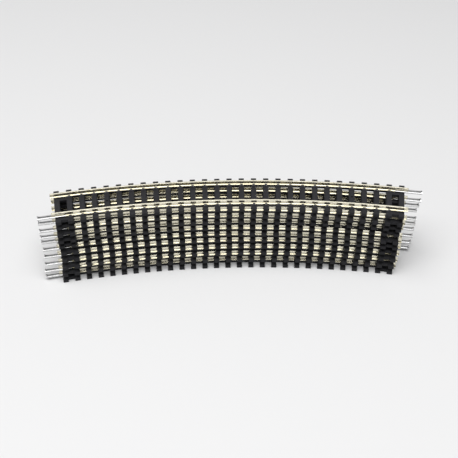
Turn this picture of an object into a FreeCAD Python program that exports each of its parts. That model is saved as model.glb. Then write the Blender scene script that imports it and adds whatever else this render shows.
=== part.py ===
import FreeCAD, Part

import os

import Sketcher
from FreeCAD import Placement, Rotation, Vector

# A pile of identical curved track sections, 16.5 mm gauge, laid flat on top of each other.
# Every section is a moulded sleeper base with two profiled rails and two sheet metal rail
# joiners: one on the left end of the inner rail and one on the right end of the outer rail.
# All sizes are millimetres and degrees. +X runs along the bottom section, to the right, +Y
# points to the outside of the curve and +Z up. The origin is on the underside of the bottom
# section, in the middle of its middle sleeper.

SECTION_COUNT = 10

SIZES = [
    # the curve
    ("curve_radius", 505.0),
    ("curve_angle", 22.5),
    ("gauge", 16.5),
    # sleepers: the pitch is measured along the centre line
    ("sleeper_count", 29),
    ("sleeper_pitch", 6.84),
    ("sleeper_length", 28.2),
    ("sleeper_width", 3.0),
    ("sleeper_height", 1.96),
    # strips under the rails that tie the sleepers together, and the wider end plates
    ("strip_width", 2.2),
    ("strip_depth", 1.2),
    ("strip_drop", 0.05),
    ("end_plate_width", 7.4),
    ("end_plate_depth", 1.8),
    # flat bottomed rail
    ("rail_height", 2.54),
    ("head_width", 0.9),
    ("head_depth", 0.72),
    ("head_bevel", 0.14),
    ("web_width", 0.56),
    ("foot_width", 2.2),
    ("foot_edge", 0.36),
    ("foot_depth", 0.48),
    # chairs: a pair of lugs on each sleeper that lap over the rail foot
    ("chair_length", 1.5),
    ("chair_width", 3.9),
    ("chair_height", 0.7),
    ("chair_throat", 1.3),
    ("chair_clearance", 0.03),
    # holes for track pins
    ("pin_hole_diameter", 1.1),
    ("pin_hole_sleeper", 5),
    # rail joiners, folded from sheet
    ("joiner_length", 15.0),
    ("joiner_grip", 7.4),
    ("joiner_sheet", 0.25),
    ("joiner_clearance", 0.07),
    ("joiner_slot", 0.94),
    ("joiner_mouth", 1.9),
    ("joiner_flare", 1.6),
    ("joiner_corner", 0.2),
    # relief in the end sleepers that lets a joiner slide in under the rail
    ("relief_width", 3.4),
    ("relief_depth", 0.42),
    ("relief_flare", 1.4),
    ("relief_flare_depth", 1.4),
    # air between one section's rails and the next section's base
    ("stack_gap", 0.05),
]

# How far each section above the bottom one is shifted and turned, as a hand-made pile is:
# X and Y in millimetres at the middle of the section, turn in degrees.
PILE_SHIFTS = [
    (0.0, 0.0, 0.0),
    (0.3, -0.35, 0.0),
    (0.85, 0.25, 0.0),
    (1.15, 1.1, -0.15),
    (1.15, 1.35, -0.55),
    (0.9, 1.4, -1.1),
    (0.85, 1.7, -0.3),
    (1.2, 1.1, -0.65),
    (1.4, 1.0, -1.3),
    (1.55, 1.1, -0.6),
]


def make_sheet(document):
    """The spreadsheet that holds every driving dimension under a plain name."""
    sheet = document.addObject("Spreadsheet::Sheet", "Sizes")
    rows = list(SIZES)
    for number, (shift_x, shift_y, turn) in enumerate(PILE_SHIFTS, start=1):
        rows.append((f"shift_x_{number:02d}", shift_x))
        rows.append((f"shift_y_{number:02d}", shift_y))
        rows.append((f"turn_{number:02d}", turn))
    for row, (alias, value) in enumerate(rows, start=1):
        sheet.set(f"A{row}", alias)
        sheet.set(f"B{row}", str(value))
        sheet.setAlias(f"B{row}", alias)
    document.recompute()
    return sheet


# Expressions that several sketches share.
PITCH_ANGLE = "(Sizes.sleeper_pitch / Sizes.curve_radius * 180 / pi)"
OUTER_RADIUS = "(Sizes.curve_radius + (Sizes.gauge + Sizes.head_width) / 2)"
INNER_RADIUS = "(Sizes.curve_radius - (Sizes.gauge + Sizes.head_width) / 2)"
RAILS = (INNER_RADIUS, OUTER_RADIUS)
LAYER_HEIGHT = "(Sizes.sleeper_height + Sizes.rail_height + Sizes.stack_gap)"


def origin_feature(body, role):
    """A plane or axis of the body's own origin, found by its role."""
    return next(item for item in body.Origin.OriginFeatures if item.Role == role)


def attach_sketch(body, name, plane, turn=None, lift=None):
    """An empty sketch on an origin plane, turned about the body's Z axis and lifted along it."""
    sketch = body.newObject("Sketcher::SketchObject", name)
    sketch.AttachmentSupport = [(origin_feature(body, plane), "")]
    sketch.MapMode = "FlatFace"
    if turn is not None:
        # a sketch on the YZ plane has the body's Z axis as its own Y axis
        upright = Vector(0, 1, 0) if plane == "YZ_Plane" else Vector(0, 0, 1)
        sketch.AttachmentOffset = Placement(Vector(0, 0, 0), Rotation(upright, 1))
        sketch.setExpression("AttachmentOffset.Rotation.Angle", turn)
    if lift is not None:
        sketch.setExpression("AttachmentOffset.Base.z", lift)
    return sketch


def add_outline(sketch, corners):
    """A closed straight-sided outline whose corners are bound to pairs of expressions."""
    points = []
    for across, along in corners:
        place = [float(sketch.evalExpression(text)) for text in (across, along)]
        points.append(Vector(place[0], place[1], 0))
    first = sketch.GeometryCount
    last = first + len(points) - 1
    for start, end in zip(points, points[1:] + points[:1]):
        sketch.addGeometry(Part.LineSegment(start, end), False)
    for line, (across, along) in enumerate(corners, start=first):
        following = first if line == last else line + 1
        sketch.addConstraint(Sketcher.Constraint("Coincident", line, 2, following, 1))
        point = points[line - first]
        for kind, value, text in (("DistanceX", point.x, across), ("DistanceY", point.y, along)):
            number = sketch.addConstraint(Sketcher.Constraint(kind, line, 1, value))
            sketch.setExpression(f"Constraints[{number}]", text)


def add_circle(sketch, along, radius):
    """A circle on the sketch's Y axis, its place and size bound to expressions."""
    centre = float(sketch.evalExpression(along))
    size = float(sketch.evalExpression(radius))
    sketch.addGeometry(Part.Circle(Vector(0, centre, 0), Vector(0, 0, 1), size), False)
    sketch.addConstraint(Sketcher.Constraint("PointOnObject", 0, 3, -2))
    for kind, value, text in (("DistanceY", centre, along), ("Radius", size, radius)):
        items = (0, 3, value) if kind == "DistanceY" else (0, value)
        number = sketch.addConstraint(Sketcher.Constraint(kind, *items))
        sketch.setExpression(f"Constraints[{number}]", text)


def rectangle(low_x, high_x, low_y, high_y):
    """The four corners of a rectangle, as pairs of expressions."""
    return [(low_x, low_y), (high_x, low_y), (high_x, high_y), (low_x, high_y)]


def add_pad(body, name, sketch, length, both_sides=False):
    pad = body.newObject("PartDesign::Pad", name)
    pad.Profile = sketch
    pad.Midplane = both_sides
    pad.setExpression("Length", length)
    return pad


def add_pocket(body, name, sketch, length, both_sides=False):
    pocket = body.newObject("PartDesign::Pocket", name)
    pocket.Profile = sketch
    pocket.Midplane = both_sides
    pocket.setExpression("Length", length)
    return pocket


def add_sweep_round(body, kind, name, sketch, angle):
    """A Revolution or Groove of a radial section about the centre of the curve."""
    feature = body.newObject(kind, name)
    feature.Profile = sketch
    feature.ReferenceAxis = (origin_feature(body, "Z_Axis"), [""])
    feature.Midplane = True
    feature.setExpression("Angle", angle)
    return feature


def add_repeat(body, name, feature, count, angle):
    """Copies of a feature from its own place clockwise about the centre of the curve."""
    pattern = body.newObject("PartDesign::PolarPattern", name)
    pattern.Originals = [feature]
    pattern.Axis = (origin_feature(body, "Z_Axis"), [""])
    pattern.Reversed = True
    pattern.setExpression("Occurrences", count)
    pattern.setExpression("Angle", angle)
    body.Tip = pattern
    return pattern


def add_mirror(body, name, feature):
    """The same feature at the other end of the section."""
    mirror = body.newObject("PartDesign::Mirrored", name)
    mirror.Originals = [feature]
    mirror.MirrorPlane = (origin_feature(body, "YZ_Plane"), [""])
    body.Tip = mirror
    return mirror


def turn_of_sleeper(number):
    """The angle from the middle of the section to a sleeper, counted from the left end."""
    return f"((Sizes.sleeper_count + 1) / 2 - ({number})) * {PITCH_ANGLE}"


def new_pattern(document, name):
    """A body that only serves as the pattern for copies, with the centre of the curve at 0."""
    body = document.addObject("PartDesign::Body", f"{name}_pattern")
    body.Label = f"{name}_pattern"
    return body


def add_sleepers(document, body):
    """The row of sleepers, with the pin holes and the joiner reliefs of the end ones."""
    half_width = "Sizes.sleeper_width / 2"
    outline = attach_sketch(body, "SleeperOutline", "XY_Plane", turn=turn_of_sleeper(1))
    add_outline(outline, rectangle(
        f"-{half_width}", half_width,
        "Sizes.curve_radius - Sizes.sleeper_length / 2",
        "Sizes.curve_radius + Sizes.sleeper_length / 2"))
    sleeper = add_pad(body, "Sleeper", outline, "Sizes.sleeper_height")
    document.recompute()
    add_repeat(body, "Sleepers", sleeper, "Sizes.sleeper_count",
               f"(Sizes.sleeper_count - 1) * {PITCH_ANGLE}")

    holes = attach_sketch(body, "PinHoleOutline", "XY_Plane",
                          turn=turn_of_sleeper("Sizes.pin_hole_sleeper"))
    add_circle(holes, "Sizes.curve_radius", "Sizes.pin_hole_diameter / 2")
    hole = add_pocket(body, "PinHole", holes, "Sizes.sleeper_height * 3", both_sides=True)
    document.recompute()
    add_mirror(body, "PinHoles", hole)

    reliefs = attach_sketch(body, "JoinerReliefOutline", "XY_Plane", turn=turn_of_sleeper(1),
                            lift="Sizes.sleeper_height")
    flares = attach_sketch(body, "ReliefFlareOutline", "XY_Plane", turn=turn_of_sleeper(1))
    for rail in RAILS:
        add_outline(reliefs, rectangle(
            "-Sizes.sleeper_width", "Sizes.sleeper_width",
            f"{rail} - Sizes.relief_width / 2", f"{rail} + Sizes.relief_width / 2"))
        for side in ("-", "+"):
            near = f"{rail} {side} Sizes.relief_width / 2"
            add_outline(flares, [
                (f"-{half_width}", f"{near} {side} Sizes.relief_flare"),
                (f"-{half_width}", near),
                (f"-{half_width} + Sizes.relief_flare_depth", near)])
    relief = add_pocket(body, "JoinerRelief", reliefs, "Sizes.relief_depth")
    document.recompute()
    add_mirror(body, "JoinerReliefs", relief)
    flare = add_pocket(body, "ReliefFlare", flares, "Sizes.sleeper_height * 3", both_sides=True)
    document.recompute()
    add_mirror(body, "ReliefFlares", flare)


def add_links(document, body):
    """The strips under the rails and the channelled plates that link the end sleepers."""
    top = "(Sizes.sleeper_height - Sizes.strip_drop)"
    strips = attach_sketch(body, "StripSection", "YZ_Plane")
    plates = attach_sketch(body, "EndPlateSection", "YZ_Plane", turn=turn_of_sleeper(1.5))
    floor = "Sizes.sleeper_height - Sizes.relief_depth"
    bottom = "Sizes.sleeper_height - Sizes.end_plate_depth"
    for rail in RAILS:
        add_outline(strips, rectangle(
            f"{rail} - Sizes.strip_width / 2", f"{rail} + Sizes.strip_width / 2",
            f"{top} - Sizes.strip_depth", top))
        half_plate = "Sizes.end_plate_width / 2"
        half_relief = "Sizes.relief_width / 2"
        add_outline(plates, [
            (f"{rail} - {half_plate}", bottom), (f"{rail} + {half_plate}", bottom),
            (f"{rail} + {half_plate}", top), (f"{rail} + {half_relief}", top),
            (f"{rail} + {half_relief}", floor), (f"{rail} - {half_relief}", floor),
            (f"{rail} - {half_relief}", top), (f"{rail} - {half_plate}", top)])
    add_sweep_round(body, "PartDesign::Revolution", "Strips", strips,
                    f"(Sizes.sleeper_count - 3) * {PITCH_ANGLE}")
    plate = add_pad(body, "EndPlate", plates, "Sizes.sleeper_pitch - Sizes.sleeper_width / 2",
                    both_sides=True)
    document.recompute()
    add_mirror(body, "EndPlates", plate)


def add_chairs(document, body):
    """A pair of lugs at each rail on every sleeper but the end ones, lapping over the foot."""
    chairs = attach_sketch(body, "ChairSection", "YZ_Plane", turn=turn_of_sleeper(2))
    base = "Sizes.sleeper_height"
    lip = "Sizes.sleeper_height + Sizes.foot_depth + Sizes.chair_clearance"
    top = "Sizes.sleeper_height + Sizes.chair_height"
    for rail in RAILS:
        for side in ("-", "+"):
            throat = f"{rail} {side} Sizes.chair_throat / 2"
            wall = f"{rail} {side} (Sizes.foot_width / 2 + Sizes.chair_clearance)"
            back = f"{rail} {side} Sizes.chair_width / 2"
            add_outline(chairs, [(wall, base), (back, base), (back, top), (throat, top),
                                 (throat, lip), (wall, lip)])
    chair = add_pad(body, "Chair", chairs, "Sizes.chair_length", both_sides=True)
    document.recompute()
    add_repeat(body, "Chairs", chair, "Sizes.sleeper_count - 2",
               f"(Sizes.sleeper_count - 3) * {PITCH_ANGLE}")


def make_sleeper_base(document):
    """The moulded base of a section."""
    body = new_pattern(document, "sleeper_base")
    add_sleepers(document, body)
    add_links(document, body)
    add_chairs(document, body)
    return body


def make_rail(document, name, radius):
    """A flat bottomed rail, its foot at 0: its section swept round the curve."""
    body = new_pattern(document, name)
    half_foot = "Sizes.foot_width / 2"
    half_web = "Sizes.web_width / 2"
    half_head = "Sizes.head_width / 2"
    half_section = [
        (half_foot, "0"),
        (half_foot, "Sizes.foot_edge"),
        (half_web, "Sizes.foot_depth"),
        (half_web, "Sizes.rail_height - Sizes.head_depth - Sizes.head_bevel"),
        (half_head, "Sizes.rail_height - Sizes.head_depth"),
        (half_head, "Sizes.rail_height - Sizes.head_bevel"),
        (f"({half_head} - Sizes.head_bevel)", "Sizes.rail_height"),
    ]
    outer_side = [(f"{radius} + {across}", up) for across, up in half_section]
    inner_side = [(f"{radius} - {across}", up) for across, up in reversed(half_section)]
    section = attach_sketch(body, "RailSection", "YZ_Plane")
    add_outline(section, outer_side + inner_side)
    add_sweep_round(body, "PartDesign::Revolution", "Rail", section, "Sizes.curve_angle")
    return body


def make_joiner(document, name, radius, end):
    """A folded channel that grips the rail foot, half its length past the end of the rail.

    It lies along X with the middle of its grip at X = 0. end is +1 for the right end of the
    section and -1 for the left end.
    """
    body = new_pattern(document, name)
    inside = "(Sizes.foot_width / 2 + Sizes.joiner_clearance)"
    outside = f"({inside} + Sizes.joiner_sheet)"
    slot = "(Sizes.joiner_slot / 2)"
    floor = "(0 - Sizes.joiner_clearance)"
    roof = "(Sizes.foot_depth + Sizes.joiner_clearance)"
    top = f"({roof} + Sizes.joiner_sheet)"
    half_section = [
        (outside, f"{floor} - Sizes.joiner_sheet"),
        (outside, top),
        (slot, top),
        (slot, roof),
        (inside, roof),
        (inside, floor),
    ]
    outer_side = [(f"{radius} + {across}", up) for across, up in half_section]
    inner_side = [(f"{radius} - {across}", up) for across, up in reversed(half_section)]
    section = attach_sketch(body, "JoinerSection", "YZ_Plane")
    near_end = "Sizes.joiner_grip / 2"
    far_end = "(Sizes.joiner_length - Sizes.joiner_grip / 2)"
    start = f"(0 - {near_end})" if end > 0 else f"(0 - {far_end})"
    section.setExpression("AttachmentOffset.Base.z", start)
    add_outline(section, outer_side + inner_side)
    add_pad(body, "Channel", section, "Sizes.joiner_length")

    mouth = attach_sketch(body, "MouthOutline", "XY_Plane", lift=top)
    add_outline(mouth, [
        (f"{end} * {far_end}", f"{radius} - Sizes.joiner_mouth / 2"),
        (f"{end} * {far_end}", f"{radius} + Sizes.joiner_mouth / 2"),
        (f"{end} * ({far_end} - Sizes.joiner_flare)", f"{radius} + {slot}"),
        (f"{end} * ({far_end} - Sizes.joiner_flare)", f"{radius} - {slot}"),
    ])
    channel = add_pocket(body, "Mouth", mouth, "Sizes.joiner_sheet * 1.5")
    document.recompute()

    bends = body.newObject("PartDesign::Fillet", "Bends")
    middle = float(section.evalExpression(radius))
    reach = float(section.evalExpression(outside))
    edges = []
    for index, edge in enumerate(channel.Shape.Edges, start=1):
        centre = edge.CenterOfMass
        along_x = abs(edge.tangentAt(edge.FirstParameter).x) > 0.999
        if along_x and abs(abs(centre.y - middle) - reach) < 1e-4:
            edges.append(f"Edge{index}")
    bends.Base = (channel, edges)
    bends.setExpression("Radius", "Sizes.joiner_corner")
    return body


def joiner_turn(radius, end):
    """The angle from the middle of the section to the middle of a joiner's grip."""
    return f"{-end} * (Sizes.curve_angle / 2 - Sizes.joiner_grip / 2 / {radius} * 180 / pi)"


def place_copy(document, pattern, number, name, height, turn):
    """A copy of a pattern body at its own place in one section of the pile."""
    label = f"section_{number:02d}_{name}"
    copy = document.addObject("PartDesign::FeatureBase", f"{label}_shape")
    copy.BaseFeature = pattern
    body = document.addObject("PartDesign::Body", label)
    body.Label = label
    body.Group = [copy]
    body.Tip = copy
    body.Placement = Placement(Vector(0, 0, 0), Rotation(Vector(0, 0, 1), 1))
    shift_x = f"Sizes.shift_x_{number:02d}"
    shift_y = f"Sizes.shift_y_{number:02d}"
    section_turn = f"Sizes.turn_{number:02d}"
    body.setExpression(
        "Placement.Base.x", f"{shift_x} + Sizes.curve_radius * sin({section_turn} * 1 deg)")
    body.setExpression(
        "Placement.Base.y", f"{shift_y} - Sizes.curve_radius * cos({section_turn} * 1 deg)")
    body.setExpression("Placement.Base.z", f"{number - 1} * {LAYER_HEIGHT} + {height}")
    body.setExpression("Placement.Rotation.Angle", f"{section_turn} + {turn}")
    return body


def check_document(document, bodies):
    """Stop if any feature failed or any piece isn't one sound solid."""
    for item in document.Objects:
        bad = [state for state in item.State if state in ("Invalid", "Error")]
        if bad:
            raise RuntimeError(f"{item.Name} is {bad}")
    for body in bodies:
        shape = body.Shape
        if shape.isNull() or not shape.isValid() or len(shape.Solids) != 1:
            raise RuntimeError(f"{body.Label} isn't one valid solid")


def main():
    document = FreeCAD.newDocument("TrackSections")
    make_sheet(document)
    rail_foot = "Sizes.sleeper_height"
    pieces = [
        ("sleeper_base", make_sleeper_base(document), "0", "0"),
        ("outer_rail", make_rail(document, "outer_rail", OUTER_RADIUS), rail_foot, "0"),
        ("inner_rail", make_rail(document, "inner_rail", INNER_RADIUS), rail_foot, "0"),
        ("left_joiner", make_joiner(document, "left_joiner", INNER_RADIUS, -1),
         rail_foot, joiner_turn(INNER_RADIUS, -1)),
        ("right_joiner", make_joiner(document, "right_joiner", OUTER_RADIUS, 1),
         rail_foot, joiner_turn(OUTER_RADIUS, 1)),
    ]
    document.recompute()
    bodies = []
    for number in range(1, SECTION_COUNT + 1):
        for name, pattern, height, turn in pieces:
            bodies.append(place_copy(document, pattern, number, name, height, turn))
    document.recompute()
    check_document(document, bodies)
    os.makedirs("parts", exist_ok=True)
    for body in bodies:
        body.Shape.exportStep(os.path.join("parts", f"{body.Label}.step"))


main()
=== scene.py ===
"""A hand-stacked pile of ten curved model track sections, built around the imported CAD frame.

Every section is a moulded sleeper base, two drawn rails and two folded rail joiners. Sizes are
millimetres unless the name says otherwise, and a piece's own frame has the centre of the curve
at its origin and Z = 0 at the underside of its section.
"""

import math
import random

import bmesh
import bpy
from mathutils import Matrix, Vector, noise


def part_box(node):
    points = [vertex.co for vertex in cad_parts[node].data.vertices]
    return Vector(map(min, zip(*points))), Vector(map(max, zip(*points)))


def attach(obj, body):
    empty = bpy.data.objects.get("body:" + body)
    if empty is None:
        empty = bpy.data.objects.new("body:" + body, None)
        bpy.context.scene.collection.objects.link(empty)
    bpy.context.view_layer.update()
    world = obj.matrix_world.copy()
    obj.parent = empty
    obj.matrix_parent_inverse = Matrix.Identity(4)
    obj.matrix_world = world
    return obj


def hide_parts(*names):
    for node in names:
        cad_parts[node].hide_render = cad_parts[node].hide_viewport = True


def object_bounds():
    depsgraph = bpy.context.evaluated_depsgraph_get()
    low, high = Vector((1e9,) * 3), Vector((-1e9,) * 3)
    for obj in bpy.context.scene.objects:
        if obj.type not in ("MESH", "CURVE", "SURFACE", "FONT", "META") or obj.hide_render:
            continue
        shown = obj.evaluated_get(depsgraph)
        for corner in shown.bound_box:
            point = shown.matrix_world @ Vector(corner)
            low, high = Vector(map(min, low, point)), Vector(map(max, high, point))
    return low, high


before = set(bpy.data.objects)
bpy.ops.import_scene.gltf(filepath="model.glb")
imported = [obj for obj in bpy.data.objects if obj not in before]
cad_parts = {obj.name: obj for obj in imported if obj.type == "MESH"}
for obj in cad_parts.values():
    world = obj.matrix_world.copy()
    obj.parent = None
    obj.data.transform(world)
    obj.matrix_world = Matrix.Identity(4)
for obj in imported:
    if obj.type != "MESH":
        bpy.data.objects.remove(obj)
CAD_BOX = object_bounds()

MM = 0.001

# The sections, as the CAD part makes them.
SECTION_COUNT = 10
CURVE_RADIUS = 505.0
CURVE_ANGLE = 22.5
GAUGE = 16.5
SLEEPER_COUNT = 29
SLEEPER_PITCH = 6.84
SLEEPER_LENGTH = 28.2
SLEEPER_WIDTH = 3.0
SLEEPER_HEIGHT = 1.96
STRIP_WIDTH = 2.2
STRIP_DEPTH = 1.2
STRIP_DROP = 0.05
PLATE_WIDTH = 7.4
PLATE_DEPTH = 1.8
RELIEF_WIDTH = 3.4
RELIEF_DEPTH = 0.42
FLARE_WIDTH = 1.4
FLARE_DEPTH = 1.4
PIN_HOLE_RADIUS = 0.55
PIN_HOLE_SLEEPERS = (5, 25)
RAIL_HEIGHT = 2.54
HEAD_WIDTH = 0.9
HEAD_DEPTH = 0.72
WEB_WIDTH = 0.56
FOOT_WIDTH = 2.2
FOOT_EDGE = 0.36
FOOT_DEPTH = 0.48
CHAIR_LENGTH = 1.5
CHAIR_WIDTH = 3.9
CHAIR_HEIGHT = 0.7
CHAIR_THROAT = 1.3
CHAIR_CLEARANCE = 0.03
JOINER_LENGTH = 15.0
JOINER_GRIP = 7.4
JOINER_SHEET = 0.25
JOINER_CLEARANCE = 0.07
JOINER_SLOT = 0.94
JOINER_FLARE = 1.6

# Shift along +X and +Y and turn of each section, bottom first, in mm and degrees.
PILE_SHIFTS = [
    (0.0, 0.0, 0.0),
    (0.3, -0.35, 0.0),
    (0.85, 0.25, 0.0),
    (1.15, 1.1, -0.15),
    (1.15, 1.35, -0.55),
    (0.9, 1.4, -1.1),
    (0.85, 1.7, -0.3),
    (1.2, 1.1, -0.65),
    (1.4, 1.0, -1.3),
    (1.55, 1.1, -0.6),
]

OUTER_RADIUS = CURVE_RADIUS + (GAUGE + HEAD_WIDTH) / 2
INNER_RADIUS = CURVE_RADIUS - (GAUGE + HEAD_WIDTH) / 2
PITCH_ANGLE = SLEEPER_PITCH / CURVE_RADIUS
HALF_CURVE = math.radians(CURVE_ANGLE) / 2


def section_name(number):
    """A section's body, counted from the bottom."""
    return f"section_{number:02d}"


def section_place(number):
    """Where a section's own frame lies in the row frame, in metres."""
    shift_x, shift_y, turn = PILE_SHIFTS[number - 1]
    turn = math.radians(turn)
    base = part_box(f"{section_name(number)}_sleeper_base")[0].z
    centre = Vector((
        (shift_x + CURVE_RADIUS * math.sin(turn)) * MM,
        (shift_y - CURVE_RADIUS * math.cos(turn)) * MM,
        base,
    ))
    return Matrix.Translation(centre) @ Matrix.Rotation(turn, 4, "Z")


def on_curve(angle):
    """A frame on the curve: X along it, Y outwards from its centre, angle from the middle."""
    return Matrix.Rotation(-angle, 4, "Z")


def sleeper_angle(number):
    """Where a sleeper lies on the curve, counted from the left."""
    return (number - (SLEEPER_COUNT + 1) / 2) * PITCH_ANGLE


# ---------------------------------------------------------------- mesh helpers


def rounded(corners, steps=4):
    """Points of a closed outline whose corners (x, y, radius) are rounded off by arcs."""
    points = []
    for index, (x, y, radius) in enumerate(corners):
        here = Vector((x, y))
        if radius == 0:
            points.append(here)
            continue
        before = Vector(corners[index - 1][:2]) - here
        after = Vector(corners[(index + 1) % len(corners)][:2]) - here
        half = before.angle(after) / 2
        reach = radius / math.tan(half)
        start = here + before.normalized() * reach
        end = here + after.normalized() * reach
        middle = here + (before.normalized() + after.normalized()).normalized() * (
            radius / math.sin(half))
        first = (start - middle).angle_signed(end - middle)
        for step in range(steps + 1):
            arm = (start - middle).copy()
            arm.rotate(Matrix.Rotation(-first * step / steps, 2))
            points.append(middle + arm)
    return points


def loft(bm, rings, marks_along=None, marks_round=None, closed=True):
    """Skin a run of rings of points and cap its ends. Marks go into the UV map, in mm."""
    uv = bm.loops.layers.uv.verify()
    rows = [[bm.verts.new(point) for point in ring] for ring in rings]
    count = len(rings[0])
    along = marks_along or list(range(len(rings)))
    around = marks_round or list(range(count + 1))
    for i in range(len(rows) - 1):
        for j in range(count if closed else count - 1):
            k = (j + 1) % count
            face = bm.faces.new((rows[i][j], rows[i][k], rows[i + 1][k], rows[i + 1][j]))
            face.smooth = True
            marks = ((i, j), (i, j + 1), (i + 1, j + 1), (i + 1, j))
            for loop, (a, r) in zip(face.loops, marks):
                loop[uv].uv = (along[a], around[r])
    for row, turned in ((rows[0], True), (rows[-1], False)):
        cap = bm.faces.new(list(reversed(row)) if turned else row)
        for loop in cap.loops:
            loop[uv].uv = (loop.vert.co.x, loop.vert.co.z)
    return rows


def perimeter_marks(points):
    """The distance run round a closed outline at each of its points, and at its start again."""
    marks = [0.0]
    for index in range(len(points)):
        step = points[(index + 1) % len(points)] - points[index]
        marks.append(marks[-1] + step.length)
    return marks


def finish_mesh(bm, name, sharp_degrees=38):
    """A mesh in metres from a bmesh in millimetres, with sharp edges where it turns hard."""
    bmesh.ops.triangulate(bm, faces=[face for face in bm.faces if len(face.verts) > 4])
    bmesh.ops.recalc_face_normals(bm, faces=bm.faces)
    limit = math.radians(sharp_degrees)
    for edge in bm.edges:
        if len(edge.link_faces) == 2 and edge.calc_face_angle() > limit:
            edge.smooth = False
    for face in bm.faces:
        face.smooth = True
    bm.transform(Matrix.Scale(MM, 4))
    mesh = bpy.data.meshes.new(name)
    bm.to_mesh(mesh)
    bm.free()
    return mesh


def add_piece(name, mesh, place, body, node, material):
    """A copy of a mesh, laid at its place, that rides on a body and stands for a CAD node."""
    placed = mesh.copy()
    placed.transform(place)
    placed.materials.append(material)
    piece = bpy.data.objects.new(name, placed)
    bpy.context.scene.collection.objects.link(piece)
    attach(piece, body)
    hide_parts(node)
    return piece


def cut(bm, cutter):
    """The bmesh with another taken out of it; both are used up."""
    solid, tool = (bpy.data.meshes.new(role) for role in ("solid", "tool"))
    for source, mesh in ((bm, solid), (cutter, tool)):
        bmesh.ops.recalc_face_normals(source, faces=source.faces)
        source.to_mesh(mesh)
        source.free()
    target, knife = (bpy.data.objects.new(mesh.name, mesh) for mesh in (solid, tool))
    for item in (target, knife):
        bpy.context.scene.collection.objects.link(item)
    boolean = target.modifiers.new("cut", "BOOLEAN")
    boolean.operation = "DIFFERENCE"
    boolean.solver = "EXACT"
    boolean.object = knife
    graph = bpy.context.evaluated_depsgraph_get()
    result = bpy.data.meshes.new_from_object(target.evaluated_get(graph))
    out = bmesh.new()
    out.from_mesh(result)
    for item in (target, knife):
        bpy.data.objects.remove(item)
    for mesh in (solid, tool, result):
        bpy.data.meshes.remove(mesh)
    return out


def merge(bm, other):
    """Add another bmesh's faces to a bmesh, and free it."""
    mesh = bpy.data.meshes.new("part")
    other.to_mesh(mesh)
    other.free()
    bm.from_mesh(mesh)
    bpy.data.meshes.remove(mesh)


# ---------------------------------------------------------------- sleeper base

STRIP_STEPS = 108
PLATE_STEPS = 4
# How far an end plate starts from its sleeper's middle, in sleeper spacings.
PLATE_INSET = 0.1
GRAIN_DEPTH = 0.045
GRAIN_STATIONS = 26
TOP_POINTS = 11
SLEEPER_EDGE = 0.13
SLEEPER_CORNER_POINTS = 4
SLEEPER_FOOT_EDGE = 0.06
# How far the flares' cutter runs out past the sleeper's face, and widens on the way.
FLARE_OVERRUN = 0.5
FLARE_EXTRA = 0.35
COUNTERSINK_DEPTH = 0.2
COUNTERSINK_RIM = 0.14
PIN_HOLE_SIDES = 28
# Frequencies of the grain along and across a sleeper, and the step between sleepers.
GRAIN_COARSE = (0.09, 2.6, 7.3)
GRAIN_FINE = (0.35, 6.0, 3.1)
# How much of the grain's depth is even, coarse and fine.
GRAIN_SHARES = (0.42, 0.55, 0.35)
# Distances from a sleeper's end, and how far its faces are drawn in there.
SLEEPER_END = [(0.0, 0.09), (0.03, 0.035), (SLEEPER_EDGE, 0.0)]
# The step in the UV map between sleepers, so that no two have the same grain.
SLEEPER_MARK = 31.0


def sleeper_section():
    """The section of a sleeper across its length, with points along its top for the grain."""
    half = SLEEPER_WIDTH / 2
    sides = rounded([
        (-half, 0, SLEEPER_FOOT_EDGE),
        (half, 0, SLEEPER_FOOT_EDGE),
        (half, SLEEPER_HEIGHT, SLEEPER_EDGE),
        (-half, SLEEPER_HEIGHT, SLEEPER_EDGE),
    ], steps=SLEEPER_CORNER_POINTS - 1)
    flat = half - SLEEPER_EDGE
    top = [Vector((flat - 2 * flat * step / (TOP_POINTS + 1), SLEEPER_HEIGHT))
           for step in range(1, TOP_POINTS + 1)]
    before_top = SLEEPER_CORNER_POINTS * 3
    return sides[:before_top] + top + sides[before_top:]


def grain(along, across, seed):
    """How far the wood grain sinks the top of a sleeper at a point, in mm."""
    place = (along, across, seed)
    coarse = noise.noise(Vector([at * rate for at, rate in zip(place, GRAIN_COARSE)]))
    fine = noise.noise(Vector([at * rate for at, rate in zip(place, GRAIN_FINE)]))
    even_share, coarse_share, fine_share = GRAIN_SHARES
    depth = even_share + coarse_share * coarse + fine_share * fine
    return GRAIN_DEPTH * min(1.0, max(0.0, depth))


def make_sleeper(number):
    """One sleeper across the curve, its middle on the centre line."""
    bm = bmesh.new()
    section = sleeper_section()
    half = SLEEPER_LENGTH / 2
    edge = SLEEPER_EDGE
    inner = [(edge + (SLEEPER_LENGTH - 2 * edge) * step / GRAIN_STATIONS, 0.0)
             for step in range(1, GRAIN_STATIONS)]
    other_end = [(SLEEPER_LENGTH - at, inset) for at, inset in reversed(SLEEPER_END)]
    stations = SLEEPER_END + inner + other_end
    middle = SLEEPER_HEIGHT / 2
    rings = []
    for at, inset in stations:
        ring = []
        for point in section:
            x = point.x * (1 - 2 * inset / SLEEPER_WIDTH)
            z = middle + (point.y - middle) * (1 - inset / middle)
            if point.y > SLEEPER_HEIGHT - 1e-4:
                z -= grain(at, point.x, number)
            ring.append((x, CURVE_RADIUS - half + at, z))
        rings.append(ring)
    marks = perimeter_marks(section)
    loft(bm, rings, [at + number * SLEEPER_MARK for at, _ in stations], marks)
    return bm


def box_cutter(bm, low, high):
    """A box between two corners."""
    base = [(low[0], low[1]), (high[0], low[1]), (high[0], high[1]), (low[0], high[1])]
    loft(bm, [[(x, y, z) for x, y in base] for z in (low[2], high[2])])


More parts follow.
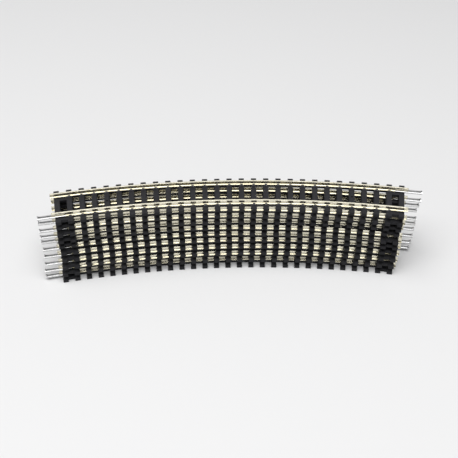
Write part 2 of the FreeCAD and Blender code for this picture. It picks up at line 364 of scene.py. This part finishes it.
def cut_pin_hole(bm):
    """A hole for a track pin, slightly countersunk."""
    cutter = bmesh.new()
    profile = [
        (-0.5, PIN_HOLE_RADIUS),
        (SLEEPER_HEIGHT - COUNTERSINK_DEPTH, PIN_HOLE_RADIUS),
        (SLEEPER_HEIGHT + 0.02, PIN_HOLE_RADIUS + COUNTERSINK_RIM),
        (SLEEPER_HEIGHT + 0.5, PIN_HOLE_RADIUS + COUNTERSINK_RIM),
    ]
    rings = []
    for height, radius in profile:
        turns = [2 * math.pi * step / PIN_HOLE_SIDES for step in range(PIN_HOLE_SIDES)]
        rings.append([(radius * math.cos(turn), CURVE_RADIUS + radius * math.sin(turn), height)
                      for turn in turns])
    loft(cutter, rings)
    return cut(bm, cutter)


def cut_joiner_relief(bm, outward):
    """The channels that let a joiner in under each rail, flared at the section's end."""
    cutter = bmesh.new()
    face = outward * SLEEPER_WIDTH / 2
    over = outward * FLARE_OVERRUN
    half = RELIEF_WIDTH / 2
    floor = SLEEPER_HEIGHT - RELIEF_DEPTH
    for radius in (INNER_RADIUS, OUTER_RADIUS):
        box_cutter(cutter, (-SLEEPER_WIDTH, radius - half, floor),
                   (SLEEPER_WIDTH, radius + half, SLEEPER_HEIGHT + 1))
        for side in (-1, 1):
            near = radius + side * half
            corners = [
                (face + over, near + side * (FLARE_WIDTH + FLARE_EXTRA)),
                (face + over, near + side * 0.01),
                (face - outward * FLARE_DEPTH, near + side * 0.01),
            ]
            loft(cutter, [[(x, y, height) for x, y in corners]
                          for height in (-1, SLEEPER_HEIGHT + 2)])
    return cut(bm, cutter)


def sweep(bm, outline, radius, first, last, steps):
    """Sweep an outline of (across, up) points round the curve between two angles."""
    rings = []
    angles = [first + (last - first) * step / steps for step in range(steps + 1)]
    for angle in angles:
        turn = on_curve(angle)
        rings.append([turn @ Vector((0, radius + point[0], point[1])) for point in outline])
    points = [Vector(point[:2]) for point in outline]
    loft(bm, rings, [angle * radius for angle in angles], perimeter_marks(points))


def add_links(bm):
    """The strips under the rails, and the channelled plates that link the end sleepers."""
    top = SLEEPER_HEIGHT - STRIP_DROP
    half = STRIP_WIDTH / 2
    strip = rounded([
        (-half, top - STRIP_DEPTH, 0.05),
        (half, top - STRIP_DEPTH, 0.05),
        (half, top, 0.08),
        (-half, top, 0.08),
    ], steps=2)
    half_plate = PLATE_WIDTH / 2
    half_relief = RELIEF_WIDTH / 2
    bottom = SLEEPER_HEIGHT - PLATE_DEPTH
    floor = SLEEPER_HEIGHT - RELIEF_DEPTH
    plate = rounded([
        (-half_plate, bottom, 0.06),
        (half_plate, bottom, 0.06),
        (half_plate, top, 0.1),
        (half_relief, top, 0.06),
        (half_relief, floor, 0.04),
        (-half_relief, floor, 0.04),
        (-half_relief, top, 0.06),
        (-half_plate, top, 0.1),
    ], steps=2)
    for radius in (INNER_RADIUS, OUTER_RADIUS):
        sweep(bm, strip, radius, sleeper_angle(2), sleeper_angle(SLEEPER_COUNT - 1), STRIP_STEPS)
        for first, last in ((1, 2), (SLEEPER_COUNT - 1, SLEEPER_COUNT)):
            sweep(bm, plate, radius, sleeper_angle(first + PLATE_INSET),
                  sleeper_angle(last - PLATE_INSET), PLATE_STEPS)


# Chairs and bolts are marked by a far place along the UV map. The plastic reads this mark to paint
# them paler, a painted highlight, and to make them smoother.
CHAIR_MARK = 2000.0
# Places along a lug as shares of its half length, and how far its top swells there.
LUG_DOME = [(0, 1.0), (0.4, 0.95), (0.75, 0.78), (0.94, 0.5), (1, 0.18)]
BOLT_SIDES = 8
# Heights of a bolt head's rings over its middle, and their radii.
BOLT_PROFILE = [(-0.3, 0.26), (0.06, 0.26), (0.17, 0.2), (0.22, 0.08)]
BOLT_INSET = 0.22
BOLT_HEIGHT = 0.4


def chair_lug(side):
    """Outline of one lug, (across, up) from the rail's middle and the sleeper's top."""
    wall = FOOT_WIDTH / 2 + CHAIR_CLEARANCE
    back = CHAIR_WIDTH / 2
    lip = FOOT_DEPTH + CHAIR_CLEARANCE
    throat = CHAIR_THROAT / 2
    corners = [
        (wall, -0.12, 0),
        (back, -0.12, 0),
        (back, 0.26, 0.1),
        (back - 0.4, 0.62, 0.24),
        (throat + 0.38, CHAIR_HEIGHT, 0.2),
        (throat, 0.65, 0.05),
        (throat, lip, 0),
        (wall, lip, 0),
    ]
    points = rounded(corners, steps=4)
    return [Vector((side * point.x, point.y)) for point in points]


def add_lug(bm, turn, radius, side):
    """One domed lug beside a rail, with its bolt head."""
    lip = FOOT_DEPTH + CHAIR_CLEARANCE
    half = CHAIR_LENGTH / 2
    outline = chair_lug(side)
    stations = [(-half * share, swell) for share, swell in reversed(LUG_DOME)]
    stations += [(half * share, swell) for share, swell in LUG_DOME[1:]]
    rings = []
    for along, swell in stations:
        ring = []
        for point in outline:
            up = point.y
            if up > lip:
                up = lip + (up - lip) * swell
            ring.append(turn @ Vector((along, radius + point.x, SLEEPER_HEIGHT + up)))
        rings.append(ring)
    marks = [CHAIR_MARK + along for along, _ in stations]
    loft(bm, rings, marks, perimeter_marks(outline))
    across = radius + side * (CHAIR_WIDTH / 2 - BOLT_INSET)
    add_bolt(bm, turn @ Vector((0, across, SLEEPER_HEIGHT + BOLT_HEIGHT)))


def add_chairs(bm):
    """A chair of two lugs at every rail, on all but the end sleepers."""
    for number in range(2, SLEEPER_COUNT):
        turn = on_curve(sleeper_angle(number))
        for radius in (INNER_RADIUS, OUTER_RADIUS):
            for side in (-1, 1):
                add_lug(bm, turn, radius, side)


def add_bolt(bm, at):
    """A small domed bolt head."""
    turns = [2 * math.pi * step / BOLT_SIDES for step in range(BOLT_SIDES)]
    rings = []
    for up, radius in BOLT_PROFILE:
        rings.append([at + Vector((radius * math.cos(turn), radius * math.sin(turn), up))
                      for turn in turns])
    loft(bm, rings, [CHAIR_MARK + step for step in range(len(rings))])


def make_base():
    """The moulded base of a section, one mesh."""
    base = bmesh.new()
    for number in range(1, SLEEPER_COUNT + 1):
        sleeper = make_sleeper(number)
        if number in PIN_HOLE_SLEEPERS:
            sleeper = cut_pin_hole(sleeper)
        if number in (1, SLEEPER_COUNT):
            sleeper = cut_joiner_relief(sleeper, -1 if number == 1 else 1)
        sleeper.transform(on_curve(sleeper_angle(number)))
        merge(base, sleeper)
    add_links(base)
    add_chairs(base)
    return finish_mesh(base, "sleeper_base")


# ---------------------------------------------------------------- rails

RAIL_STEPS = 120
RAIL_CUT_EDGE = 0.05
HEAD_BEVEL = 0.14
CROWN_DROP = 0.03


def rail_outline():
    """Outline of a flat bottomed rail, (across, up) from the middle of its foot."""
    foot = FOOT_WIDTH / 2
    web = WEB_WIDTH / 2
    head = HEAD_WIDTH / 2
    under = RAIL_HEIGHT - HEAD_DEPTH
    right = [
        (foot, 0, 0.05),
        (foot, FOOT_EDGE, 0.08),
        (web, FOOT_DEPTH, 0.12),
        (web, under - HEAD_BEVEL, 0.12),
        (head, under, 0.1),
        (head, RAIL_HEIGHT - CROWN_DROP, 0.17),
    ]
    crown = [(0, RAIL_HEIGHT, 0)]
    left = [(-across, up, round_off) for across, up, round_off in reversed(right)]
    return rounded(right + crown + left, steps=4)


def make_rail(name, radius):
    """A rail swept round the curve, its cut ends slightly eased."""
    bm = bmesh.new()
    outline = rail_outline()
    middle = Vector((0, RAIL_HEIGHT / 2))
    eased = [point + (middle - point).normalized() * RAIL_CUT_EDGE for point in outline]
    half = HALF_CURVE
    step = RAIL_CUT_EDGE / radius
    angles = [-half, -half + step]
    angles += [-half + step + (2 * half - 2 * step) * i / RAIL_STEPS for i in range(1, RAIL_STEPS)]
    angles += [half - step, half]
    rings = []
    for index, angle in enumerate(angles):
        points = eased if index in (0, len(angles) - 1) else outline
        turn = on_curve(angle)
        rings.append([turn @ Vector((0, radius + point.x, point.y)) for point in points])
    loft(bm, rings, [angle * radius for angle in angles], perimeter_marks(outline))
    return finish_mesh(bm, name, sharp_degrees=50)


# ---------------------------------------------------------------- joiners

JOINER_STATIONS = 30
# How far the free end may be bent across and up, in mm.
JOINER_SWAY = (-0.16, 0.16)
JOINER_DROOP = (-0.16, 0.12)
# How much a fully opened mouth spreads its walls, lifts their bends and moves its lips.
MOUTH_SPREAD = 0.06
LIP_SPREAD = 0.42
LIP_RISE = 0.5
LIP_DIP = 0.05
HEEL_OPENING = 0.35
HEEL_SHARE = 0.6


def joiner_line(open_up):
    """The middle of the folded sheet, (across, up), from one lip round to the other."""
    wall = FOOT_WIDTH / 2 + JOINER_CLEARANCE + JOINER_SHEET / 2
    floor = -JOINER_CLEARANCE - JOINER_SHEET / 2
    roof = FOOT_DEPTH + JOINER_CLEARANCE + JOINER_SHEET / 2
    spread = MOUTH_SPREAD * open_up
    points = rounded([
        (JOINER_SLOT / 2 + LIP_SPREAD * open_up, roof - LIP_DIP + LIP_RISE * open_up, 0),
        (wall + spread, roof + spread, 0.22),
        (wall, floor, 0.2),
        (0, floor, 0),
    ], steps=5)
    other = [Vector((-point.x, point.y)) for point in reversed(points[:-1])]
    return points + other


def thicken(line, thickness):
    """A closed outline round an open line."""
    outer = []
    inner = []
    for index, point in enumerate(line):
        before = line[max(index - 1, 0)]
        after = line[min(index + 1, len(line) - 1)]
        along = (after - before).normalized()
        across = Vector((-along.y, along.x)) * thickness / 2
        outer.append(point + across)
        inner.append(point - across)
    return outer + list(reversed(inner))


def make_joiner(name, seed):
    """A folded channel along X from its grip's middle, with a flared mouth and a slight bend."""
    chance = random.Random(seed)
    sway = chance.uniform(*JOINER_SWAY)
    droop = chance.uniform(*JOINER_DROOP)
    bm = bmesh.new()
    near = -JOINER_GRIP / 2
    far = JOINER_LENGTH - JOINER_GRIP / 2
    rings = []
    along = []
    for step in range(JOINER_STATIONS + 1):
        share = step / JOINER_STATIONS
        x = near + (far - near) * share
        mouth = max(0.0, 1 - (far - x) / JOINER_FLARE)
        heel = max(0.0, 1 - (x - near) / (JOINER_FLARE * HEEL_SHARE))
        free = max(0.0, (x - JOINER_GRIP / 2) / (far - JOINER_GRIP / 2))
        open_up = max(mouth ** 1.5, heel * HEEL_OPENING)
        outline = thicken(joiner_line(open_up), JOINER_SHEET)
        rings.append([(x, point.x + sway * free ** 2, point.y + droop * free ** 2)
                      for point in outline])
        along.append(x)
    loft(bm, rings, along, perimeter_marks([Vector(point) for point in outline]))
    return finish_mesh(bm, name, sharp_degrees=50)


def joiner_place(radius, end):
    """Where a joiner lies in its section's frame: end is 1 at the right and -1 at the left."""
    turn = on_curve(end * (HALF_CURVE - JOINER_GRIP / 2 / radius))
    lift = Matrix.Translation((0, radius * MM, SLEEPER_HEIGHT * MM))
    facing = Matrix.Rotation(math.pi if end < 0 else 0, 4, "Z")
    return turn @ lift @ facing


# ---------------------------------------------------------------- materials

NOISE_ROUGHNESS = 0.55
# Stops of (position, colour) over a noise.
PLASTIC_TONES = [(0.25, (0.014, 0.014, 0.0155)), (0.75, (0.032, 0.032, 0.0355))]
PLASTIC_DUST = [(0.35, (0.75, 0.75, 0.76)), (0.75, (1.15, 1.15, 1.14))]
PLASTIC_ROUGHNESS = (0.44, 0.62)
PLASTIC_SPECULAR = 0.12
# The chairs are smoother than the sleepers. They are also painted paler than the sleepers, a
# painted highlight.
CHAIR_HIGHLIGHT_TONES = [(0.0, (1.0, 1.0, 1.0)), (1.0, (2.6, 2.6, 2.6))]
CHAIR_POLISH = 0.6
# Bright and dull colour, roughness, and how close the drawn lines lie.
NICKEL = ((0.70, 0.665, 0.545), (0.59, 0.56, 0.45), 0.12, 16.0)
SILVER = ((0.63, 0.63, 0.635), (0.52, 0.52, 0.51), 0.16, 9.0)
METAL_SHADE = [(0.2, (0.95, 0.95, 0.95)), (0.7, (1.0, 1.0, 1.0))]
FLOOR_COLOUR = (0.78, 0.78, 0.783, 1)


def new_material(name):
    """A material, its nodes and links, and its surface shader."""
    material = bpy.data.materials.new(name)
    material.use_nodes = True
    nodes = material.node_tree.nodes
    return material, nodes, material.node_tree.links, nodes["Principled BSDF"]


def add_noise(nodes, links, coordinates, output, scale, stretch=(1, 1, 1), detail=4):
    """A noise texture over the object's own coordinates, stretched, as its factor socket."""
    mapping = nodes.new("ShaderNodeMapping")
    mapping.inputs["Scale"].default_value = stretch
    links.new(coordinates.outputs[output], mapping.inputs["Vector"])
    texture = nodes.new("ShaderNodeTexNoise")
    texture.inputs["Scale"].default_value = scale
    texture.inputs["Detail"].default_value = detail
    texture.inputs["Roughness"].default_value = NOISE_ROUGHNESS
    links.new(mapping.outputs["Vector"], texture.inputs["Vector"])
    return texture.outputs["Fac"]


def add_ramp(nodes, links, factor, stops):
    """A colour ramp over a factor, from (position, colour) stops."""
    ramp = nodes.new("ShaderNodeValToRGB")
    elements = ramp.color_ramp.elements
    while len(elements) < len(stops):
        elements.new(0.5)
    for element, (position, colour) in zip(elements, stops):
        element.position = position
        element.color = (*colour, 1)
    links.new(factor, ramp.inputs["Fac"])
    return ramp.outputs["Color"]


def add_range(nodes, links, value, low, high, from_low=0.3, from_high=0.7):
    """A value mapped from one range to another; the first suits a noise."""
    reach = nodes.new("ShaderNodeMapRange")
    reach.inputs["From Min"].default_value = from_low
    reach.inputs["From Max"].default_value = from_high
    reach.inputs["To Min"].default_value = low
    reach.inputs["To Max"].default_value = high
    links.new(value, reach.inputs["Value"])
    return reach.outputs["Result"]


def multiply(nodes, links, first, second):
    """The product of two values."""
    product = nodes.new("ShaderNodeMath")
    product.operation = "MULTIPLY"
    links.new(first, product.inputs[0])
    links.new(second, product.inputs[1])
    return product.outputs["Value"]


def add_bump(nodes, links, height, strength, distance, onto=None):
    """A bump from a height, on top of another bump if one is given."""
    bump = nodes.new("ShaderNodeBump")
    bump.inputs["Strength"].default_value = strength
    bump.inputs["Distance"].default_value = distance
    links.new(height, bump.inputs["Height"])
    if onto is not None:
        links.new(onto, bump.inputs["Normal"])
    return bump.outputs["Normal"]


def multiply_colours(nodes, links, first, second):
    """The product of two colours; a mix node's sockets 6, 7 and 2 are its colour ones."""
    mix = nodes.new("ShaderNodeMix")
    mix.data_type = "RGBA"
    mix.blend_type = "MULTIPLY"
    mix.inputs["Factor"].default_value = 1.0
    links.new(first, mix.inputs[6])
    links.new(second, mix.inputs[7])
    return mix.outputs[2]


def make_plastic():
    """Matt black moulded plastic with a faint wood grain; its chairs and bolts are painted paler,
    a painted highlight.
    """
    material, nodes, links, surface = new_material("sleeper_plastic")
    coordinates = nodes.new("ShaderNodeTexCoord")
    grain_lines = add_noise(nodes, links, coordinates, "UV", 1.0, (0.22, 5.0, 1.0), detail=5)
    speckle = add_noise(nodes, links, coordinates, "Object", 5200.0, detail=3)
    handling = add_noise(nodes, links, coordinates, "Object", 90.0, detail=4)
    tone = add_ramp(nodes, links, grain_lines, PLASTIC_TONES)
    dust = add_ramp(nodes, links, handling, PLASTIC_DUST)
    moulded = multiply_colours(nodes, links, tone, dust)
    rough = add_range(nodes, links, handling, *PLASTIC_ROUGHNESS)
    position = nodes.new("ShaderNodeSeparateXYZ")
    links.new(coordinates.outputs["UV"], position.inputs["Vector"])
    border = CHAIR_MARK / 2
    chair = add_range(nodes, links, position.outputs["X"], 0.0, 1.0, border, border + 1)
    # Painted highlight: the colour of the chairs and bolts is lifted up to 2.6 times, paler than
    # the sleepers.
    painted_chair_highlight = add_ramp(nodes, links, chair, CHAIR_HIGHLIGHT_TONES)
    colour = multiply_colours(nodes, links, moulded, painted_chair_highlight)
    links.new(colour, surface.inputs["Base Color"])
    polish = add_range(nodes, links, chair, 1.0, CHAIR_POLISH, 0.0, 1.0)
    links.new(multiply(nodes, links, rough, polish), surface.inputs["Roughness"])
    surface.inputs["Specular IOR Level"].default_value = PLASTIC_SPECULAR
    coarse = add_bump(nodes, links, grain_lines, 0.5, 0.00004)
    links.new(add_bump(nodes, links, speckle, 0.35, 0.000012, coarse), surface.inputs["Normal"])
    return material


def make_metal(name, bright, dull, rough, streak):
    """Drawn or rolled metal: fine lines along it, and patches of light tarnish."""
    material, nodes, links, surface = new_material(name)
    coordinates = nodes.new("ShaderNodeTexCoord")
    lines = add_noise(nodes, links, coordinates, "UV", 1.0, (0.12, streak, 1.0), detail=4)
    patches = add_noise(nodes, links, coordinates, "Object", 130.0, detail=5)
    fine = add_noise(nodes, links, coordinates, "UV", 1.0, (0.9, streak * 2.4, 1.0), detail=3)
    surface.inputs["Metallic"].default_value = 1.0
    tarnish = add_ramp(nodes, links, patches, [(0.40, bright), (0.85, dull)])
    shade = add_ramp(nodes, links, lines, METAL_SHADE)
    links.new(multiply_colours(nodes, links, tarnish, shade), surface.inputs["Base Color"])
    roughness = add_range(nodes, links, lines, rough * 0.8, rough * 1.25)
    links.new(roughness, surface.inputs["Roughness"])
    links.new(add_bump(nodes, links, fine, 0.05, 0.000001), surface.inputs["Normal"])
    return material


# ---------------------------------------------------------------- the pile


def build_pile():
    """All ten sections, each piece on the body that carries it."""
    plastic = make_plastic()
    nickel = make_metal("rail_metal", *NICKEL)
    silver = make_metal("joiner_metal", *SILVER)
    base = make_base()
    rails = {"outer_rail": make_rail("outer_rail", OUTER_RADIUS),
             "inner_rail": make_rail("inner_rail", INNER_RADIUS)}
    joiners = {"left_joiner": (INNER_RADIUS, -1), "right_joiner": (OUTER_RADIUS, 1)}
    on_sleepers = Matrix.Translation((0, 0, SLEEPER_HEIGHT * MM))
    for number in range(1, SECTION_COUNT + 1):
        section = section_name(number)
        place = section_place(number)
        add_piece(f"{section}_moulding", base, place, section, f"{section}_sleeper_base",
                  plastic)
        for rail, mesh in rails.items():
            add_piece(f"{section}_{rail}_bar", mesh, place @ on_sleepers, section,
                      f"{section}_{rail}", nickel)
        for joiner, (radius, end) in joiners.items():
            mesh = make_joiner(f"{section}_{joiner}_sheet", number * 2 + (end > 0))
            add_piece(f"{section}_{joiner}_sheet", mesh, place @ joiner_place(radius, end),
                      f"{section}_{joiner}", f"{section}_{joiner}", silver)


# ---------------------------------------------------------------- floor, light and camera

CAMERA_AZIMUTH = math.radians(-1.366)
CAMERA_ELEVATION = math.radians(40.60)
CAMERA_ROLL = math.radians(-0.467)
CAMERA_DISTANCE = 0.4848
CAMERA_LENS = 61.95
LOOK_AT = Vector((0.001593, 0.020602, 0.0))
FLOOR_SIZE = 8.0
FLOOR_GAP = 0.00002
SOFTBOX_PLACE = (-0.15, -0.42, 1.5)
SOFTBOX_SIZE = (2.0, 1.3)
SOFTBOX_POWER = 34.0
# Strengths of the surround for lighting and for mirroring, and its share below the horizon.
TENT_LIGHT = 0.16
TENT_MIRROR = 0.95
TENT_LOW = 0.02


def add_floor():
    """A plain pale table top."""
    bm = bmesh.new()
    half = FLOOR_SIZE / 2
    corners = [(-half, -half), (half, -half), (half, half), (-half, half)]
    bm.faces.new([bm.verts.new((x, y, 0)) for x, y in corners])
    mesh = bpy.data.meshes.new("floor")
    bm.to_mesh(mesh)
    bm.free()
    floor = bpy.data.objects.new("floor", mesh)
    bpy.context.scene.collection.objects.link(floor)
    floor.location.z = CAD_BOX[0][2] - FLOOR_GAP
    material, _, _, surface = new_material("floor_paper")
    surface.inputs["Base Color"].default_value = FLOOR_COLOUR
    surface.inputs["Roughness"].default_value = 0.9
    surface.inputs["Specular IOR Level"].default_value = 0.1
    mesh.materials.append(material)


def add_softbox(name, position, target, size, power):
    """A rectangular light that faces its target."""
    light = bpy.data.lights.new(name, "AREA")
    light.shape = "RECTANGLE"
    light.size, light.size_y = size
    light.energy = power
    item = bpy.data.objects.new(name, light)
    bpy.context.scene.collection.objects.link(item)
    item.location = position
    item.rotation_euler = (Vector(target) - Vector(position)).to_track_quat("-Z", "Y").to_euler()


def add_world(diffuse, glossy, low):
    """A white surround, darker low in front, that mirrors brighter than it lights."""
    world = bpy.data.worlds.new("studio")
    bpy.context.scene.world = world
    world.use_nodes = True
    nodes = world.node_tree.nodes
    links = world.node_tree.links
    background = nodes["Background"]
    background.inputs["Color"].default_value = (1.0, 1.0, 1.0, 1)
    rays = nodes.new("ShaderNodeLightPath")
    strength = add_range(nodes, links, rays.outputs["Is Glossy Ray"], diffuse, glossy, 0.0, 1.0)
    direction = nodes.new("ShaderNodeTexCoord")
    height = nodes.new("ShaderNodeVectorMath")
    height.operation = "DOT_PRODUCT"
    height.inputs[1].default_value = (0.0, 0.35, 1.0)
    links.new(direction.outputs["Generated"], height.inputs[0])
    shape = add_range(nodes, links, height.outputs["Value"], low, 1.0, -0.1, 0.4)
    links.new(multiply(nodes, links, strength, shape), background.inputs["Strength"])


def add_light():
    """A white tent round the pile, and a large softbox above and in front of it."""
    add_world(TENT_LIGHT, TENT_MIRROR, TENT_LOW)
    add_softbox("softbox", SOFTBOX_PLACE, (0, 0, 0), SOFTBOX_SIZE, SOFTBOX_POWER)
    bpy.context.scene.view_settings.view_transform = "Standard"


def add_camera():
    """The camera, looking down on the pile from the inside of its curve."""
    back = Vector((
        math.sin(CAMERA_AZIMUTH) * math.cos(CAMERA_ELEVATION),
        -math.cos(CAMERA_AZIMUTH) * math.cos(CAMERA_ELEVATION),
        math.sin(CAMERA_ELEVATION),
    ))
    right = (-back).cross(Vector((0, 0, 1))).normalized()
    up = right.cross(-back)
    turn = Matrix((right, up, back)).transposed() @ Matrix.Rotation(CAMERA_ROLL, 3, "Z")
    camera = bpy.data.cameras.new("camera")
    camera.lens = CAMERA_LENS
    camera.sensor_width = 36.0
    camera.clip_start = 0.01
    item = bpy.data.objects.new("camera", camera)
    bpy.context.scene.collection.objects.link(item)
    item.matrix_world = Matrix.Translation(LOOK_AT + back * CAMERA_DISTANCE) @ turn.to_4x4()
    bpy.context.scene.camera = item


build_pile()
add_floor()
add_light()
add_camera()
